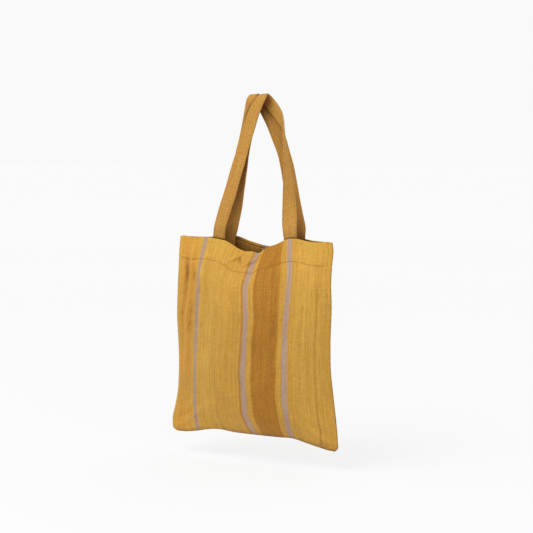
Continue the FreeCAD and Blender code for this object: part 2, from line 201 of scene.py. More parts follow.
def crease(place, sharp=3.2 * MM):
    """A line pressed in when the cloth was folded away: a narrow valley beside a low ridge."""
    return 1.5 * MM * (0.6 * bump(place - 4 * MM, sharp * 1.6) - bump(place, sharp))


# The long ripples down the left flank: place across and height and reach of each, in millimetres.
FLANK_RIPPLES = (
    (14, 1.8, 6), (24, -2.8, 6.5), (36, 3.0, 7), (49, -2.6, 6.5),
    (61, 1.4, 6), (80, 1.8, 11), (100, -1.4, 10),
)
# The back's long folds: place across and height of each.
BACK_RIPPLES = ((28, -1.6), (60, 2.0), (142, -1.9), (205, 1.8), (262, -1.6), (330, 1.9), (365, -1.3))


def front_folds(u, down, v):
    total = np.zeros(np.broadcast(u, down).shape)
    fade = ease(0.04, 0.2, v) * (1 - ease(0.35, 0.85, v))
    sway = 3 * MM * np.sin(7 * v + 0.6)
    for at, tall, reach in FLANK_RIPPLES:
        total += tall * MM * bump(u - at * MM - sway, reach * MM) * fade
    # a short fold that runs down from the left corner
    line = u - 14 * MM - 0.22 * down
    total -= 2.4 * MM * bump(line, 9 * MM) * ease(0.01, 0.08, v) * (1 - ease(0.18, 0.42, v))
    total += 1.8 * MM * bump(line - 13 * MM, 9 * MM) * ease(0.01, 0.08, v) * (1 - ease(0.15, 0.4, v))
    total += 0.7 * crease(u - 130 * MM) * ease(0.35, 0.6, v)
    total += crease(u - 363 * MM + 5 * MM * ease(0.1, 0.5, v)) * ease(0.06, 0.16, v)
    # the right flank rolls in towards its seam
    total += 2.2 * MM * bump(u - 374 * MM, 13 * MM) * ease(0.05, 0.2, v) * (1 - ease(0.8, 1, v))
    # the slack rim between the straps
    across = (u - 146 * MM) + 0.9 * (down - 26 * MM)
    total += 3.4 * MM * bump(across, 7 * MM) * bump(down - 26 * MM, 26 * MM)
    across = (u - 172 * MM) - 0.8 * (down - 32 * MM)
    total -= 3.8 * MM * bump(across, 7 * MM) * bump(down - 24 * MM, 22 * MM)
    across = (u - 190 * MM) + 1.2 * (down - 26 * MM)
    total += 3.8 * MM * bump(across, 7 * MM) * bump(down - 22 * MM, 20 * MM)
    across = (u - 250 * MM) + 0.7 * (down - 40 * MM)
    total += 2.4 * MM * bump(across, 9 * MM) * bump(down - 40 * MM, 34 * MM)
    # low cross folds where the bottom corners hang
    for at, tilt in ((52, 0.5), (345, -0.45)):
        for rise, tall in ((30, 2.0), (46, -1.5), (64, 1.1)):
            line = (FLAT_TALL - down) - rise * MM - tilt * (u - at * MM)
            total += tall * MM * bump(line, 9 * MM) * bump(u - at * MM, 55 * MM)
    return total


def back_folds(u, down, v):
    total = np.zeros(np.broadcast(u, down).shape)
    for at, tall in BACK_RIPPLES:
        sway = 6 * MM * np.sin(6 * v + at)
        total += tall * MM * bump(u - at * MM - sway, 22 * MM) * ease(0.03, 0.3, v) * (1 - ease(0.85, 1, v))
    total += crease(u - 262 * MM) * ease(0.1, 0.2, v)
    total += crease(u - 47 * MM) * ease(0.1, 0.2, v)
    for at, tilt in ((50, 0.5), (340, -0.5)):
        line = (FLAT_TALL - down) - 36 * MM - tilt * (u - at * MM)
        total += 1.8 * MM * bump(line, 10 * MM) * bump(u - at * MM, 55 * MM)
    return total


def folds(side, u, v):
    """Soft folds that stand out of the panel, away from the middle of the bag."""
    down = v * FLAT_TALL
    total = front_folds(u, down, v) if side == "front" else back_folds(u, down, v)
    for name in ("left", "right"):
        total += strap_pull(side, name, u, down)
    total += crumple(side, u, down) * (0.45 + 0.55 * ease(HEM_TALL, HEM_TALL + 20 * MM, down))
    # the sewn edges can't stand out, but pucker
    inward = np.minimum(np.minimum(u, FLAT_WIDE - u), FLAT_TALL - down)
    pucker = 0.35 * MM * np.sin((u + down) * 2 * math.pi / (13 * MM)) * bump(inward - 5 * MM, 7 * MM)
    return total * ease(0, 13 * MM, inward) + pucker


# How far the front's stripes drift to the right, in millimetres: the share across, the share
# of the width it reaches, and the drift at each of DRIFT_AT down the panel.
DRIFT_AT = (0, 0.25, 0.37, 0.55, 0.66, 0.78, 0.87, 0.91, 0.96, 1)
DRIFTS = (
    (0.17, 0.12, (0, 0, 2.4, 0.5, 1, -1.5, -2, 1.8, 4.8, 5)),
    (0.52, 0.16, (0, 0, 0, 0, 1.5, 3.3, 2.5, 4, 2.8, 3)),
    (0.76, 0.12, (0, 1, -3, -1, 0, -2.3, -1, -2.8, -4.3, -4)),
)


def hang(side, u, down, out=0.0):
    """The place of flat points (u, down) on the hung bag, moved out by some way from the cloth."""
    u = np.asarray(u, float)
    down = np.asarray(down, float)
    u, down = np.broadcast_arrays(u, down)
    s = u / FLAT_WIDE
    v = down / FLAT_TALL
    left_x, left_y = side_line("left", v)
    right_x, right_y = side_line("right", v)
    stand = belly(side, v) * arch(side, s, v)
    sign = OUTWARD[side]
    # the cloth's own width runs along the arch, and the sagging rim takes up some more of it
    parts = 80
    samples = np.linspace(0, 1, parts + 1)
    profile = arch(side, samples, v[..., None])
    slope = belly(side, v[..., None]) * np.gradient(profile, samples, axis=-1) / FLAT_WIDE
    between_straps = ease(0.2, 0.32, samples) * (1 - ease(0.68, 0.8, samples))
    slack = 0.13 * (1 - ease(0.02, 0.22, v[..., None])) * between_straps
    run = np.sqrt(np.clip(1 - slope ** 2, 0.3, 1)) - slack
    summed = np.cumsum((run[..., 1:] + run[..., :-1]) / 2, -1)
    total = np.concatenate([np.zeros_like(run[..., :1]), summed], -1)
    total /= total[..., -1:]
    place = s * parts
    low = np.clip(place.astype(int), 0, parts - 1)
    part = place - low
    share = (np.take_along_axis(total, low[..., None], -1)[..., 0] * (1 - part)
             + np.take_along_axis(total, low[..., None] + 1, -1)[..., 0] * part)
    x = left_x + (right_x - left_x) * share
    if side == "front":
        pull = smooth_through([0, 0.05, 0.1, 0.18, 0.26, 0.36, 0.5, 0.7, 0.85, 1],
                              [11, 1, -5, -9, -3, 4, 2, -3, -5, -2], v) * MM
        x += pull * np.sin(math.pi * s) ** 2
        right_pull = smooth_through([0, 0.06, 0.15, 0.3, 0.45, 0.7, 1], [-2, 2, 7, 5, 3, -2, -3], v) * MM
        x += right_pull * np.sin(math.pi * s ** 2.6) ** 2
        for across, reach, drift in DRIFTS:
            x += smooth_through(DRIFT_AT, drift, v) * MM * bump(s - across, reach)
    y = left_y + (right_y - left_y) * share + sign * stand
    y = y - 7 * MM * bump(u - 70 * MM, 60 * MM) * ease(0.8, 1, v)
    top = RIM + rim_height(side, u)
    bottom = BASE + base_height(u)
    z = top + (bottom - top) * v
    y = y + sign * folds(side, u, v)
    tuck = 1 - ease(0, 7 * MM, np.minimum(u, FLAT_WIDE - u))
    tuck = np.maximum(tuck, 1 - ease(0, 7 * MM, FLAT_TALL - down))
    y = y + sign * (0.75 * MM + 1.2 * MM * (1 - tuck)) + sign * out
    return np.stack([x, y, z], -1)


# ---------------------------------------------------------------- meshes

def new_piece(name, vertices, faces, uvs=None):
    """A smooth mesh object. uvs holds one (u, v) for each vertex."""
    mesh = bpy.data.meshes.new(name)
    mesh.from_pydata([tuple(v) for v in vertices], [], [tuple(f) for f in faces])
    if uvs is not None:
        layer = mesh.uv_layers.new(name="flat")
        loops = np.zeros(len(mesh.loops), np.int32)
        mesh.loops.foreach_get("vertex_index", loops)
        layer.data.foreach_set("uv", np.asarray(uvs, np.float32)[loops].ravel())
    mesh.polygons.foreach_set("use_smooth", [True] * len(mesh.polygons))
    mesh.validate()
    mesh.update()
    piece = bpy.data.objects.new(name, mesh)
    bpy.context.scene.collection.objects.link(piece)
    return piece


def grid_normals(points):
    along = np.gradient(points, axis=0)
    across = np.gradient(points, axis=1)
    normal = np.cross(across, along)
    return normal / np.linalg.norm(normal, axis=-1, keepdims=True)


def thick_grid(name, points, flat, thick, flip=False):
    """A closed sheet of cloth round a grid of points, thick / 2 each way."""
    rows, columns = points.shape[:2]
    normal = grid_normals(points)
    if flip:
        normal = -normal
    outer = points + normal * thick / 2
    inner = points - normal * thick / 2
    vertices = np.concatenate([outer.reshape(-1, 3), inner.reshape(-1, 3)])
    uvs = np.concatenate([flat.reshape(-1, 2), flat.reshape(-1, 2)])
    number = np.arange(rows * columns).reshape(rows, columns)
    other = number + rows * columns
    quads = np.stack([number[:-1, :-1], number[1:, :-1], number[1:, 1:], number[:-1, 1:]], -1).reshape(-1, 4)
    backs = np.stack([other[:-1, :-1], other[:-1, 1:], other[1:, 1:], other[1:, :-1]], -1).reshape(-1, 4)
    ring = np.concatenate([number[0, :], number[1:, -1], number[-1, -2::-1], number[-2:0:-1, 0]])
    after = np.roll(ring, -1)
    hull = rows * columns
    sides = np.stack([ring, after, after + hull, ring + hull], -1)
    faces = np.concatenate([quads, backs, sides])
    if flip:
        faces = faces[:, ::-1]
    return new_piece(name, vertices, faces[:, ::-1], uvs)


# ---------------------------------------------------------------- materials

def srgb(red, green, blue):
    """A colour given as on a screen, 0 to 255, in the linear numbers the shader takes."""
    def line(value):
        value /= 255
        return value / 12.92 if value <= 0.04045 else ((value + 0.055) / 1.055) ** 2.4
    return (line(red), line(green), line(blue), 1.0)


MUSTARD = srgb(236, 188, 86)
AMBER = srgb(232, 180, 80)
OCHRE = srgb(238, 181, 80)
BROWN = srgb(206, 145, 52)
UMBER = srgb(208, 154, 75)
TAUPE = srgb(205, 175, 157)
# Where each colour of the weave begins, in millimetres across the cut. With None it fades in.
STRIPES = (
    (0, MUSTARD), (8, OCHRE), (53, MUSTARD), (61, TAUPE), (71, MUSTARD),
    (110, MUSTARD, None), (150, AMBER, None), (192, UMBER), (198, TAUPE), (209.5, AMBER),
    (221.5, BROWN), (277.5, AMBER), (290, TAUPE), (301.5, AMBER), (335, MUSTARD, None), (390, AMBER, None),
)


def stripe_stops():
    """Colour ramp stops: a soft step half a millimetre wide where a stripe begins."""
    stops = []
    last = None
    for entry in STRIPES:
        place = entry[0] * MM / FLAT_WIDE
        if last is not None and len(entry) == 2:
            stops.append((place - 0.25 * MM / FLAT_WIDE, last))
            stops.append((place + 0.25 * MM / FLAT_WIDE, entry[1]))
        else:
            stops.append((place, entry[1]))
        last = entry[1]
    return stops


class Nodes:
    """Short ways to add shader nodes to one material."""

    def __init__(self, name):
        self.material = bpy.data.materials.new(name)
        self.material.use_nodes = True
        self.tree = self.material.node_tree
        self.shader = self.tree.nodes["Principled BSDF"]

    def add(self, kind, inputs=None, **settings):
        node = self.tree.nodes.new(kind)
        for key, value in settings.items():
            setattr(node, key, value)
        for key, value in (inputs or {}).items():
            if isinstance(value, bpy.types.NodeSocket):
                self.tree.links.new(value, node.inputs[key])
            else:
                node.inputs[key].default_value = value
        return node

    def maths(self, operation, first, second=0.0, third=0.0):
        return self.add("ShaderNodeMath", {0: first, 1: second, 2: third}, operation=operation).outputs[0]

    def mix(self, share, first, second, blend_type="MIX"):
        node = self.add("ShaderNodeMix", {"Factor": share}, data_type="RGBA", blend_type=blend_type)
        for index, value in ((6, first), (7, second)):
            if isinstance(value, bpy.types.NodeSocket):
                self.tree.links.new(value, node.inputs[index])
            else:
                node.inputs[index].default_value = value
        return node.outputs[2]

    def noise(self, vector, scale, detail=2.0, rough=0.5):
        inputs = {"Vector": vector, "Scale": scale, "Detail": detail, "Roughness": rough}
        return self.add("ShaderNodeTexNoise", inputs).outputs["Fac"]

    def ramp(self, value, stops):
        node = self.add("ShaderNodeValToRGB", {"Fac": value})
        elements = node.color_ramp.elements
        while len(elements) < len(stops):
            elements.new(1.0)
        for element, (place, colour) in zip(elements, stops):
            element.position = place
            element.color = colour
        return node.outputs["Color"]

    def tone(self, share, colour, value, stops):
        """The colour darkened by what a ramp says of the value, as strongly as share says."""
        return self.mix(share, colour, self.ramp(value, stops), "MULTIPLY")

    def stretched_noise(self, place, scales, detail=2.0, rough=0.5):
        """Noise over the flat cut, with its own scale across and down."""
        across, down = (self.maths("MULTIPLY", value, scale) for value, scale in zip(place, scales))
        vector = self.add("ShaderNodeCombineXYZ", {"X": across, "Y": down}).outputs["Vector"]
        return self.noise(vector, 1.0, detail, rough)


WHITE = (1.0, 1.0, 1.0, 1.0)
BLACK = (0.0, 0.0, 0.0, 1.0)
THREAD_PITCH = 0.9 * MM


def woven_stripes(nodes, u, v):
    """The stripes' colours, and the place across the cut with the threads' slight waver."""
    wander = nodes.maths("SUBTRACT", nodes.stretched_noise((u, v), (2.0, 60.0)), 0.5)
    waver = nodes.maths("MULTIPLY", wander, 1.6 * MM)
    place = nodes.maths("DIVIDE", nodes.maths("ADD", u, waver), FLAT_WIDE)
    return nodes.ramp(place, stripe_stops()), place


def painted_crease_shade(nodes, colour, u, v, cloudy):
    """Painted shade in the front's two creases: dark lines, broken up where the cloth is less cloudy."""
    for at, start in ((130 * MM, 0.5), (358.5 * MM, 0.14)):
        away = nodes.maths("ABSOLUTE", nodes.maths("SUBTRACT", u, at))
        near = nodes.maths("DIVIDE", away, 2.4 * MM)
        line = nodes.ramp(near, [(0.2, (0.7, 0.62, 0.52, 1)), (0.7, WHITE)])
        below = nodes.maths("DIVIDE", nodes.maths("SUBTRACT", v, start * FLAT_TALL), 60 * MM)
        below = nodes.add("ShaderNodeClamp", {"Value": below}).outputs["Result"]
        share = nodes.maths("MULTIPLY", nodes.maths("MULTIPLY", cloudy, 1.3), below)
        colour = nodes.mix(share, colour, nodes.mix(1.0, colour, line, "MULTIPLY"))
    return colour


def linen(name, striped, base=MUSTARD, reach=78 * MM):
    """Plain-weave linen: slubbed threads both ways, a soft sheen, and woven stripes if asked.

    Painted shade darkens the cloth where other cloth stands within reach of it.
    """
    nodes = Nodes(name)
    flat = nodes.add("ShaderNodeUVMap", uv_map="flat").outputs["UV"]
    parts = nodes.add("ShaderNodeSeparateXYZ", {"Vector": flat})
    u, v = parts.outputs["X"], parts.outputs["Y"]
    warp_slub = nodes.stretched_noise((u, v), (900.0, 22.0), 3.0, 0.6)
    weft_slub = nodes.stretched_noise((u, v), (20.0, 820.0), 3.0, 0.6)
    broad_warp = nodes.stretched_noise((u, v), (240.0, 3.0))
    cloudy = nodes.stretched_noise((u, v), (16.0, 12.0), 3.0, 0.55)
    knots = nodes.stretched_noise((u, v), (260.0, 70.0), 1.0, 0.4)
    grain = nodes.stretched_noise((u, v), (330.0, 300.0), 3.0, 0.65)
    coarse = nodes.stretched_noise((u, v), (420.0, 380.0), 2.0, 0.7)
    if striped:
        colour, place = woven_stripes(nodes, u, v)
    else:
        colour = nodes.mix(broad_warp, base, tuple(c * 0.9 for c in base[:3]) + (1.0,))
    colour = nodes.tone(0.8, colour, warp_slub, [(0.3, (0.74, 0.68, 0.6, 1)), (0.64, WHITE)])
    colour = nodes.tone(0.62, colour, weft_slub, [(0.3, (0.79, 0.74, 0.67, 1)), (0.64, WHITE)])
    colour = nodes.tone(0.8, colour, cloudy, [(0.35, (0.93, 0.91, 0.88, 1)), (0.65, WHITE)])
    colour = nodes.tone(0.9, colour, broad_warp, [(0.36, (0.86, 0.83, 0.78, 1)), (0.6, WHITE)])
    colour = nodes.tone(0.8, colour, knots, [(0.22, (0.76, 0.7, 0.62, 1)), (0.36, WHITE)])
    if striped:
        # painted shade along the front's creases
        colour = painted_crease_shade(nodes, colour, u, v, cloudy)
        # painted light and shade: the cloth is brightest near the rim, where it faces up to the light, and
        # painted shade darkens it lower down
        shaded_below_rim = (0.86, 0.86, 0.86, 1)
        stops = [(0.08, WHITE), (0.34, shaded_below_rim), (0.75, shaded_below_rim), (0.97, (0.9, 0.89, 0.89, 1))]
        colour = nodes.tone(1.0, colour, nodes.maths("DIVIDE", v, FLAT_TALL), stops)
    colour = nodes.tone(0.75, colour, grain, [(0.34, (0.80, 0.76, 0.70, 1)), (0.6, WHITE)])
    # the brown stripe and the folded straps show more of their threads' ends
    share = 0.95
    if striped:
        brown = ((221, BLACK), (222, WHITE), (277, WHITE), (278, BLACK))
        within = nodes.ramp(place, [(at * MM / FLAT_WIDE, tone) for at, tone in brown])
        share = nodes.maths("MULTIPLY", within, 0.75)
    stops = [(0.32, (0.64, 0.58, 0.5, 1)), (0.5, (0.95, 0.95, 0.94, 1)), (0.66, (1.14, 1.12, 1.08, 1))]
    colour = nodes.tone(share, colour, coarse, stops)
    # painted shade: ambient occlusion darkens the base colour in hollows, creases, strap crossings and
    # inside the bag
    painted_occlusion = nodes.add("ShaderNodeAmbientOcclusion", {"Distance": reach}, samples=8).outputs["AO"]
    stops = [(0.1, (0.2, 0.11, 0.05, 1)), (0.5, (0.3, 0.2, 0.11, 1)), (0.88, WHITE)]
    colour = nodes.tone(1.0, colour, painted_occlusion, stops)
    # threads over and under
    turn = 2 * math.pi / THREAD_PITCH
    warp = nodes.maths("SINE", nodes.maths("MULTIPLY", u, turn))
    weft = nodes.maths("SINE", nodes.maths("MULTIPLY", v, turn))
    weave = nodes.maths("MULTIPLY", warp, weft)
    slubs = nodes.maths("ADD", warp_slub, weft_slub)
    height = nodes.maths("MULTIPLY_ADD", weave, 0.25, slubs)
    bumped = nodes.add("ShaderNodeBump", {"Height": height, "Strength": 0.55, "Distance": 0.45 * MM})
    links = nodes.tree.links
    links.new(colour, nodes.shader.inputs["Base Color"])
    links.new(bumped.outputs["Normal"], nodes.shader.inputs["Normal"])
    links.new(nodes.maths("MULTIPLY_ADD", slubs, 0.12, 0.74), nodes.shader.inputs["Roughness"])
    nodes.shader.inputs["Specular IOR Level"].default_value = 0.22
    nodes.shader.inputs["Sheen Weight"].default_value = 0.18
    nodes.shader.inputs["Sheen Roughness"].default_value = 0.45
    nodes.shader.inputs["Sheen Tint"].default_value = srgb(255, 226, 170)
    return nodes.material


def thread_material(name, colour):
    """Two-ply sewing thread: fine diagonal twist lines."""
    nodes = Nodes(name)
    place = nodes.add("ShaderNodeTexCoord").outputs["Object"]
    inputs = {"Vector": place, "Scale": 900.0, "Distortion": 2.0}
    twist = nodes.add("ShaderNodeTexWave", inputs, bands_direction="DIAGONAL").outputs["Fac"]
    dark = tuple(c * 0.72 for c in colour[:3]) + (1.0,)
    nodes.tree.links.new(nodes.mix(twist, dark, colour), nodes.shader.inputs["Base Color"])
    bumped = nodes.add("ShaderNodeBump", {"Height": twist, "Strength": 0.4, "Distance": 0.1 * MM})
    nodes.tree.links.new(bumped.outputs["Normal"], nodes.shader.inputs["Normal"])
    nodes.shader.inputs["Roughness"].default_value = 0.6
    return nodes.material


STRIPED = linen("striped_linen", True)
STRAP_CLOTH = linen("strap_linen", False, srgb(225, 171, 86), 40 * MM)
# a darker copy of the mustard linen: the shade inside the bag is painted into the seams' colour
SHADED_SEAM_CLOTH = linen("seam_linen", False, srgb(206, 150, 70))
THREAD = thread_material("thread", srgb(205, 150, 66))


def finish_piece(piece, material):
    piece.data.materials.append(material)
    return piece


# ---------------------------------------------------------------- panels, hems and seams

HEM_GAP = CLOTH + 0.35 * MM
# Where the rolled rim ends inside and the flat hem turn starts, and how far it stops from the seams.
ROLL_FOOT = 6.4 * MM
HEM_INSET = 10 * MM
# The thickness and width of the turned edges in the seams.
SEAM_THICK = 1.6 * MM
SEAM_WIDE = 9 * MM
# The fold over the rim, from the inside up and over: distance down, and share of the gap inside.
ROLL = ((6, 1), (4, 1), (2.2, 1), (0.9, 0.98), (0.1, 0.85), (-0.45, 0.55), (-0.45, 0.25), (0.1, 0.04))


def panel_line(side, u, down, inside):
    """Points of the panel's cloth at rows given by down and how far inside they lie."""
    points = hang(side, u, down, out=-inside)
    hem_step = 0.45 * MM * (1 - ease(HEM_TALL - 2 * MM, HEM_TALL + 1.5 * MM, down))
    needle = 0.16 * MM * np.sin(u * 2 * math.pi / (4.1 * MM))
    groove = (0.95 * MM + needle) * bump(down - HEM_TALL + 1.2 * MM, 2.4 * MM)
    points[..., 1] += OUTWARD[side] * (hem_step - groove)
    return points


def make_panel(side):
    columns = np.linspace(0, FLAT_WIDE, round(FLAT_WIDE / GRID_STEP) + 1)
    below = np.linspace(0, FLAT_TALL, round(FLAT_TALL / GRID_STEP) + 1)
    below[0] = 0.9 * MM
    rows = np.concatenate([[down * MM for down, share in ROLL], below])
    inside = np.concatenate([[share * HEM_GAP for down, share in ROLL], np.zeros_like(below)])
    u, down = np.meshgrid(columns, rows)
    # the fold over the rim flattens where it is caught in the side seams
    free = 0.12 + 0.88 * ease(0, 12 * MM, np.minimum(u, FLAT_WIDE - u))
    depth = np.broadcast_to(inside[:, None], u.shape) * free
    points = panel_line(side, u, down, depth)
    path = np.concatenate([[-down * MM for down, share in ROLL], below])
    flat = np.stack([u, np.broadcast_to(path[:, None], u.shape)], -1)
    piece = thick_grid(f"{side}_cloth", points, flat, CLOTH, flip=side == "back")
    finish_piece(piece, STRIPED)
    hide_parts(f"{side}_panel_upper", f"{side}_panel_lower")
    blend_body(piece)
    return piece


def blend_body(piece):
    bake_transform(piece)


def make_hem(side):
    """The turned-in edge below the fold over the rim: a second layer inside the panel."""
    wide, tall = FLAT_WIDE - 2 * HEM_INSET, HEM_TALL - ROLL_FOOT
    columns = np.linspace(HEM_INSET, HEM_INSET + wide, round(wide / GRID_STEP) + 1)
    rows = np.linspace(ROLL_FOOT, ROLL_FOOT + tall, round(tall / GRID_STEP) + 1)
    u, down = np.meshgrid(columns, rows)
    points = panel_line(side, u, down, HEM_GAP + 0.15 * MM)
    flat = np.stack([u, down - 12 * MM], -1)
    piece = thick_grid(f"{side}_hem_turn", points, flat, CLOTH, flip=side == "back")
    finish_piece(piece, STRIPED)
    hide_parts(f"{side}_hem")
    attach(piece, "bag_upper")
    return piece


def make_side_seam(side):
    """The panels' turned edges down one side, inside the bag, trimmed narrow beside the hem."""
    down = np.linspace(1 * MM, FLAT_TALL - 6 * MM, 212)
    across, down = np.meshgrid(np.linspace(0.05, 1, 5), down)
    trimmed = 3.2 * MM
    wide = trimmed + (SEAM_WIDE - trimmed) * ease(HEM_TALL, HEM_TALL + 4 * MM, down)
    inward = across * wide
    v = down / FLAT_TALL
    x, y = side_line(side, v)
    edge_u = 0.0 if side == "left" else FLAT_WIDE
    z = hang("front", edge_u, down)[..., 2]
    sign = 1.0 if side == "left" else -1.0
    curl = 0.5 * MM * np.sin(down * 2 * math.pi / (17 * MM)) * across ** 2
    points = np.stack([x + sign * inward, y + curl, z], -1)
    flat = np.stack([inward, down], -1)
    piece = thick_grid(f"{side}_seam_edges", points, flat, SEAM_THICK)
    finish_piece(piece, SHADED_SEAM_CLOTH)
    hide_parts(f"{side}_seam_upper", f"{side}_seam_lower")
    blend_body(piece)


def make_bottom_seam():
    """The panels' edges along the bottom, standing up inside the bag."""
    u = np.linspace(SEAM_WIDE, FLAT_WIDE - SEAM_WIDE, 180)
    rise = np.linspace(0.5 * MM, SEAM_WIDE, 5)
    u, rise = np.meshgrid(u, rise)
    front = hang("front", u, FLAT_TALL)
    back = hang("back", u, FLAT_TALL)
    points = (front + back) / 2
    points[..., 2] += rise
    points[..., 1] += 0.5 * MM * np.sin(u * 2 * math.pi / (19 * MM)) * (rise / SEAM_WIDE) ** 2
    flat = np.stack([rise, u], -1)
    piece = thick_grid("bottom_seam_edges", points, flat, SEAM_THICK)
    finish_piece(piece, SHADED_SEAM_CLOTH)
    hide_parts("bottom_seam")
    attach(piece, "bag_lower")


PANELS = {side: make_panel(side) for side in ("front", "back")}
HEMS = {side: make_hem(side) for side in ("front", "back")}
for side in ("left", "right"):
    make_side_seam(side)
make_bottom_seam()


# ---------------------------------------------------------------- straps

STRAP_THICK = 2.6 * MM
STRAP_WIDE = 32 * MM
TAIL_WIDE = 29 * MM
# The panel and its hem, with a little air, lie over a strap's sewn end.
OVER_TAIL = 2 * CLOTH + 0.9 * MM
# The two rows of stitches along a strap, as a share of its half width.
STITCH_LINE = 0.83

# Centre, width and direction across, in millimetres, from just above the rim at the left,
# up over the rail, round the post beside it and down to the rim at the right.
FRONT_RUN = (
    ((-74, -12.3, -273), 27.5, (1, 0, -0.2)),
    ((-66.2, -12.4, -250), 28.5, (0.95, 0, -0.3)),
    ((-50.5, -12.5, -208), 29, (0.94, 0, -0.33)),
    ((-26, -12.5, -137), 28, (0.94, 0, -0.33)),
    ((0, -13.2, -62), 28, (0.94, 0, -0.33)),
    ((16, -13, -24), 24, (0.95, 0.03, -0.3)),
    ((24.5, -8.4, -6), 21, (0.98, 0, -0.15)),
    ((26, 0, 1.8), 21, (1, 0, 0.05)),
    ((30, 8.2, -7), 22, (0.88, 0, 0.45)),
    ((43, 10, -24), 24, (0.78, 0, 0.62)),
    ((57, 9, -42), 25, (0.74, -0.25, 0.6)),
    ((70, 4, -62), 26, (0.55, -0.7, 0.35)),
    ((76, -1.5, -86), 26, (0.3, -0.94, 0.1)),
    ((79.8, -3.2, -115), 26, (0.12, -0.99, 0)),
    ((83.8, -3.4, -157), 27, (-0.2, -0.98, 0)),
    ((87.8, -5.2, -200), 28, (-0.5, -0.86, 0)),
    ((92, -9.2, -242), 30, (-0.85, -0.5, 0)),
    ((93.6, -12, -273), 31, (-1, -0.1, 0)),
)
BACK_RUN = (
    ((-64, 19.6, -273), 33, (1, 0, -0.15)),
    ((-55, 16.3, -246), 32.5, (0.96, 0, -0.26)),
    ((-36, 8, -164), 31, (0.97, 0, -0.22)),
    ((-24.5, 3, -112), 30, (0.96, 0, -0.25)),
    ((-10, -2.6, -58), 27, (0.95, 0.12, -0.28)),
    ((-4.2, -5.4, -28), 22, (0.97, 0.16, -0.18)),
    ((1, -7.6, -7), 20, (1, 0.04, -0.1)),
    ((3.5, 0, 1.8), 20, (1, 0, 0.05)),
    ((8, 9.8, -9), 21, (0.87, 0, 0.5)),
    ((22, 15, -32), 25, (0.82, 0, 0.57)),
    ((40, 17.5, -64), 28, (0.82, 0.05, 0.56)),
    ((52.5, 19.5, -92), 30, (0.85, 0.08, 0.52)),
    ((61, 22, -118), 27, (0.9, 0.2, 0.4)),
    ((68.5, 23.5, -146), 28, (0.92, 0.33, 0.2)),
    ((74.5, 24, -176), 29, (0.92, 0.38, 0.05)),
    ((81, 23.6, -208), 30, (0.95, 0.3, 0)),
    ((90, 22.4, -246), 31, (0.99, 0.15, 0)),
    ((98, 21.5, -273), 31, (1, 0, 0)),
)
# Small kinks in the cloth, as distance up the strap, height and reach.
KINKS = {
    "front": ((0.236, 1.3, 0.006), (0.03, -0.8, 0.008), (0.52, 0.9, 0.02), (0.62, -0.9, 0.018)),
    "back": ((0.16, 1.0, 0.012), (0.43, -1.0, 0.02), (0.58, 0.8, 0.02)),
}
TAIL_DOWNS = (HEM_TALL - 4 * MM, 30 * MM, 15 * MM, 3 * MM)


def tail_place(side, name, down):
    """The middle of a sewn strap end, under two layers of cloth, and the way across it."""
    inside = -(OVER_TAIL + STRAP_THICK / 2)
    at = STRAP_AT[side, name]
    step = 10 * MM
    spots = hang(side, [at - step, at, at + step], down, out=inside)
    return spots[1], (spots[2] - spots[0]) / (2 * step)


def strap_path(side, run):
    """Points, widths and ways across down the whole strap, its sewn ends included."""
    stations = [(np.array(centre) * MM, wide * MM, np.array(across, float)) for centre, wide, across in run]
    start, end = [], []
    for down in TAIL_DOWNS:
        spot, across = tail_place(side, "left", down)
        start.append((spot, TAIL_WIDE, across))
        spot, across = tail_place(side, "right", down)
        end.insert(0, (spot, TAIL_WIDE, -across if side == "front" else across))
    stations = start + stations + end
    return [np.array(part) for part in zip(*stations)]


def strap_frame(side, run, step):
    """The strap's middle line with its width and directions, sampled evenly along it."""
    centres, widths, across = strap_path(side, run)
    steps = np.linalg.norm(np.diff(centres, axis=0), axis=1)
    along = np.concatenate([[0], np.cumsum(steps)])
    at = np.linspace(0, along[-1], round(along[-1] / step) + 1)
    middle = smooth_through(along, centres, at)
    wide = smooth_through(along, widths, at)
    side_way = smooth_through(along, across, at)
    forward = np.gradient(middle, axis=0)
    forward /= np.linalg.norm(forward, axis=1, keepdims=True)
    out = np.cross(forward, side_way)
    out /= np.linalg.norm(out, axis=1, keepdims=True)
    return at, middle, wide, np.cross(out, forward), out


def strap_surface(side, lines, t, face, lift=0.0):
    """Points on one face of a strap at share t (-1 to 1) across it."""
    at, middle, wide, side_way, out = lines
    t = np.asarray(t, float)
    phase = {"front": 0.0, "back": 2.0}[side]
    free = ease(0.05, 0.09, at) * (1 - ease(at[-1] - 0.09, at[-1] - 0.05, at))
    edge = 1 - 0.5 * np.abs(t) ** 10
    cup = 0.9 * MM * (t * t - 0.4) * np.sin(at * 19 + phase) * free
    ripple = 0.4 * MM * t * np.sin(at * 83 + 2.2 * t + phase) * free
    for place, tall, reach in KINKS[side]:
        ripple = ripple + tall * MM * bump(at - place - 0.004 * t, reach)
    groove = 0.3 * MM * np.exp(-((np.abs(t) - STITCH_LINE) / 0.05) ** 2)
    high = face * (STRAP_THICK / 2 * edge - groove + lift) + cup + ripple
    return middle + side_way * (t * wide / 2)[:, None] + out * high[:, None]


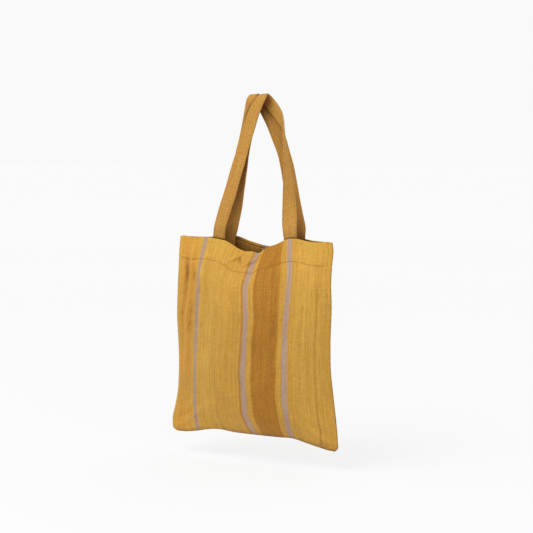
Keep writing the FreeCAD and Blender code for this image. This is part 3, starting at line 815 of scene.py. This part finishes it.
def make_strap(side, lines):
    """A band folded to four layers and sewn along both edges: flat, softly rippled."""
    at = lines[0]
    across = np.concatenate([np.linspace(-1, -0.7, 5), np.linspace(-0.55, 0.55, 7), np.linspace(0.7, 1, 5)])
    columns = [(t, 1) for t in across] + [(t, -1) for t in across[::-1]]
    rings = np.stack([strap_surface(side, lines, np.full_like(at, t), face) for t, face in columns], 1)
    uvs = np.stack([np.broadcast_to([(t + 1) / 2 * STRAP_WIDE for t, face in columns], rings.shape[:2]),
                    np.broadcast_to(at[:, None], rings.shape[:2])], -1)
    ring, rows = len(columns), len(at)
    faces = [
        (i * ring + k, i * ring + (k + 1) % ring, (i + 1) * ring + (k + 1) % ring, (i + 1) * ring + k)
        for i in range(rows - 1) for k in range(ring)
    ]
    faces.append(tuple(range(ring))[::-1])
    faces.append(tuple((rows - 1) * ring + k for k in range(ring)))
    piece = new_piece(f"{side}_strap_cloth", rings.reshape(-1, 3), faces, uvs.reshape(-1, 2))
    finish_piece(piece, STRAP_CLOTH)
    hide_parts(f"{side}_strap", f"{side}_left_strap_end", f"{side}_right_strap_end")
    blend_strap(piece)


def blend_strap(piece):
    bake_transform(piece)


# ---------------------------------------------------------------- stitches

def stitch_row(path, normals, long=3.0 * MM, gap=1.1 * MM, wide=0.55 * MM, tall=0.4 * MM):
    """Vertices and faces of separate stitches along a path: slim, domed, sunk at their ends."""
    path = np.asarray(path, float)
    normals = np.asarray(normals, float)
    along = np.concatenate([[0], np.cumsum(np.linalg.norm(np.diff(path, axis=0), axis=1))])
    pitch = long + gap
    count = int(along[-1] / pitch)
    corners = 6
    shape = [(0.0, 0.25, -0.5), (0.12, 0.85, 0.35), (0.5, 1.0, 1.0), (0.88, 0.85, 0.35), (1.0, 0.25, -0.5)]
    vertices, faces = [], []
    for n in range(count):
        rings = []
        for share, swell, rise in shape:
            at = n * pitch + gap / 2 + long * share
            spot = smooth_place(along, path, at)
            normal = smooth_place(along, normals, at)
            normal /= np.linalg.norm(normal)
            ahead = smooth_place(along, path, at + 0.2 * MM) - smooth_place(along, path, at - 0.2 * MM)
            side_way = np.cross(ahead, normal)
            side_way /= np.linalg.norm(side_way)
            centre = spot + normal * (rise * tall / 2)
            ring = []
            for k in range(corners):
                turn = 2 * math.pi * k / corners
                ring.append(centre + side_way * (math.cos(turn) * wide / 2 * swell)
                            + normal * (math.sin(turn) * tall / 2 * swell))
            rings.append(ring)
        base = len(vertices)
        for ring in rings:
            vertices += ring
        for i in range(len(rings) - 1):
            for k in range(corners):
                a, b = base + i * corners + k, base + i * corners + (k + 1) % corners
                faces.append((a, a + corners, b + corners, b))
        faces.append(tuple(base + k for k in range(corners)))
        faces.append(tuple(base + (len(rings) - 1) * corners + k for k in range(corners))[::-1])
    return vertices, faces


def smooth_place(along, values, at):
    index = min(max(int(np.searchsorted(along, at, side="right")) - 1, 0), len(along) - 2)
    share = (at - along[index]) / (along[index + 1] - along[index])
    return values[index] * (1 - share) + values[index + 1] * share


def joined(rows):
    vertices, faces = [], []
    for more, quads in rows:
        base = len(vertices)
        vertices += more
        faces += [tuple(k + base for k in quad) for quad in quads]
    return vertices, faces


def cloth_path(side, u, down, out):
    """A line on the cloth and the direction out of it at each point."""
    u, down = np.broadcast_arrays(np.asarray(u, float), np.asarray(down, float))
    step = 2 * MM
    spot = hang(side, u, down, out=out)
    across = hang(side, u + step, down) - hang(side, u - step, down)
    below = hang(side, u, down + step) - hang(side, u, down - step)
    normal = np.cross(across, below)
    normal /= np.linalg.norm(normal, axis=-1, keepdims=True)
    normal *= np.sign(normal[..., 1:2]) * OUTWARD[side]
    return spot, normal


def make_hem_stitching(side):
    """The row below the hem, seen on both faces of the cloth."""
    u = np.linspace(8 * MM, FLAT_WIDE - 8 * MM, 180)
    rows = []
    for layer in (CLOTH / 2 + 0.05 * MM, -(2.4 * CLOTH + 0.3 * MM)):
        spot, normal = cloth_path(side, u, HEM_TALL - 1.2 * MM, layer)
        rows.append(stitch_row(spot, normal if layer > 0 else -normal))
    piece = new_piece(f"{side}_hem_stitches", *joined(rows))
    finish_piece(piece, THREAD)
    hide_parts(f"{side}_hem_stitching")
    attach(piece, "bag_upper")


def make_box_stitching(side, name):
    """The rectangle of stitches that holds a strap end, sewn through to the bag's face."""
    wide, top, foot = 24 * MM, 6 * MM, HEM_TALL - 8 * MM
    at = STRAP_AT[side, name]
    left, right = at - wide / 2, at + wide / 2
    corners = [(left, top), (right, top), (right, foot), (left, foot)]
    lines = [(corners[k], corners[(k + 1) % 4]) for k in range(4)]
    rows = []
    points = 24
    for start, end in lines:
        u = np.linspace(start[0], end[0], points)
        down = np.linspace(start[1], end[1], points)
        spot, normal = cloth_path(side, u, down, CLOTH / 2 + 0.38 * MM)
        rows.append(stitch_row(spot, normal))
        spot, normal = cloth_path(side, u, down, -(OVER_TAIL + STRAP_THICK))
        rows.append(stitch_row(spot, -normal))
    piece = new_piece(f"{side}_{name}_box_stitches", *joined(rows))
    finish_piece(piece, THREAD)
    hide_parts(f"{side}_{name}_box_stitching")
    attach(piece, "bag_upper")


def make_edge_stitching(side, lines):
    """Rows along both edges of a strap, on both its faces."""
    rows = []
    for t in (-STITCH_LINE, STITCH_LINE):
        for face in (1, -1):
            spot = strap_surface(side, lines, np.full_like(lines[0], t), face, 0.05 * MM)
            rows.append(stitch_row(spot, lines[4] * face))
    piece = new_piece(f"{side}_strap_edge_stitches", *joined(rows))
    finish_piece(piece, THREAD)
    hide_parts(f"{side}_strap_edge_stitching")
    blend_strap(piece)


for side, run in (("front", FRONT_RUN), ("back", BACK_RUN)):
    lines = strap_frame(side, run, 2 * MM)
    make_strap(side, lines)
    make_edge_stitching(side, lines)
    make_hem_stitching(side)
    for name in ("left", "right"):
        make_box_stitching(side, name)


# ---------------------------------------------------------------- stage

FLOOR_LEVEL = -0.775
FLOOR_REACH = 40.0


def floor_material():
    """A white floor whose own glow makes up for the lights' reach, so that no far edge shows."""
    nodes = Nodes("floor")
    place = nodes.add("ShaderNodeNewGeometry").outputs["Position"]
    away = nodes.add("ShaderNodeVectorMath", {0: place}, operation="LENGTH").outputs["Value"]
    stops = [(0.1, 0.79), (0.25, 0.815), (0.5, 0.852), (0.9, 0.872)]
    glow = nodes.ramp(nodes.maths("DIVIDE", away, 8.0), [(at, (grey, grey, grey, 1)) for at, grey in stops])
    nodes.shader.inputs["Base Color"].default_value = (0.16, 0.16, 0.16, 1)
    nodes.shader.inputs["Roughness"].default_value = 1.0
    nodes.shader.inputs["Specular IOR Level"].default_value = 0.0
    nodes.shader.inputs["Emission Strength"].default_value = 1.0
    nodes.tree.links.new(glow, nodes.shader.inputs["Emission Color"])
    return nodes.material


def make_stage():
    mesh = bpy.data.meshes.new("floor")
    signs = ((-1, -1), (1, -1), (1, 1), (-1, 1))
    mesh.from_pydata([(x * FLOOR_REACH, y * FLOOR_REACH, FLOOR_LEVEL) for x, y in signs], [], [(0, 1, 2, 3)])
    floor = bpy.data.objects.new("floor", mesh)
    bpy.context.scene.collection.objects.link(floor)
    mesh.materials.append(floor_material())


def area_light(name, place, target, size, power):
    data = bpy.data.lights.new(name, "AREA")
    data.size = size
    data.energy = power
    lamp = bpy.data.objects.new(name, data)
    lamp.location = place
    lamp.rotation_euler = (Vector(target) - Vector(place)).to_track_quat("-Z", "Y").to_euler()
    bpy.context.scene.collection.objects.link(lamp)


def make_lights():
    """A broad soft light from above the front left, weak ones from the right and behind, and white air."""
    middle = (0, 0, -0.45)
    area_light("key", (-1.0, -1.8, 2.6), middle, 2.2, 84)
    area_light("side", (2.6, -1.5, 0.5), middle, 2.0, 24)
    area_light("back", (0.4, 1.8, 2.2), middle, 2.4, 16)
    world = bpy.data.worlds.new("studio")
    world.use_nodes = True
    tree = world.node_tree
    seen = tree.nodes["Background"]
    seen.inputs["Color"].default_value = (0.945, 0.945, 0.945, 1)
    air = tree.nodes.new("ShaderNodeBackground")
    air.inputs["Color"].default_value = (0.9, 0.92, 0.95, 1)
    air.inputs["Strength"].default_value = 0.55
    rays = tree.nodes.new("ShaderNodeLightPath")
    mix = tree.nodes.new("ShaderNodeMixShader")
    tree.links.new(rays.outputs["Is Camera Ray"], mix.inputs["Fac"])
    tree.links.new(air.outputs["Background"], mix.inputs[1])
    tree.links.new(seen.outputs["Background"], mix.inputs[2])
    tree.links.new(mix.outputs["Shader"], tree.nodes["World Output"].inputs["Surface"])
    bpy.context.scene.world = world
    bpy.context.scene.view_settings.view_transform = "Standard"


def make_camera():
    """The photograph's eye, a little above the rim to the bag's right front, looking slightly down."""
    turn = math.radians(29.5)
    pitch = math.radians(-5.74)
    away, height, shift = 2.43, -0.112, 0.0284
    right = Vector((math.cos(turn), math.sin(turn), 0))
    data = bpy.data.cameras.new("camera")
    data.lens = 78.35
    data.sensor_width = 36
    camera = bpy.data.objects.new("camera", data)
    camera.location = Vector((math.sin(turn) * away, -math.cos(turn) * away, height)) + right * shift
    camera.rotation_euler = (math.pi / 2 + pitch, 0, turn)
    bpy.context.scene.collection.objects.link(camera)
    bpy.context.scene.camera = camera


make_stage()
make_lights()
make_camera()
